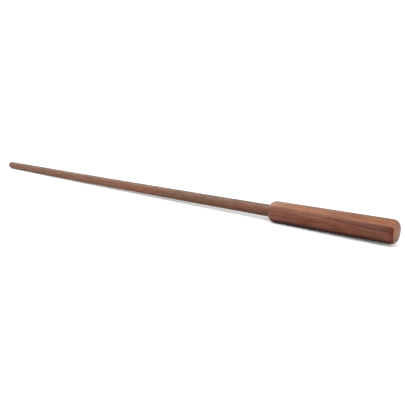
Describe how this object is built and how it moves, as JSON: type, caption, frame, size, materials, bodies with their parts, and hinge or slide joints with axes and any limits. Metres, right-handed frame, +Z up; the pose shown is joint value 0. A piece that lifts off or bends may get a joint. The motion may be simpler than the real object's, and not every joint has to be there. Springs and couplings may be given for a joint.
{
  "type": "garden dibber",
  "caption": "Long slim turned wooden dibber: a nearly straight round shaft that tapers a little to a blunt domed tip, glued into a plain round grip with rounded ends.",
  "frame": {"origin": "on the surface that the dibber lies on, under the middle of its bounding box", "axes": "+X from the tip towards the butt of the grip, +Z up from the surface that it lies on, +Y to the left of +X"},
  "size_m": [0.636, 0.022, 0.0236],
  "materials": {
    "grip_wood": "oiled reddish-brown walnut, satin, straight grain with a lighter orange band and darker growth lines",
    "shaft_wood": "oiled walnut, duller than the grip, with short reddish and olive streaks along the grain",
    "wood_glue": "dried wood glue, amber and slightly glossy"
  },
  "bodies": {
    "root": {"grip": "grip_wood", "shaft": "shaft_wood", "glue_sleeve": "wood_glue"}
  },
  "joints": []
}
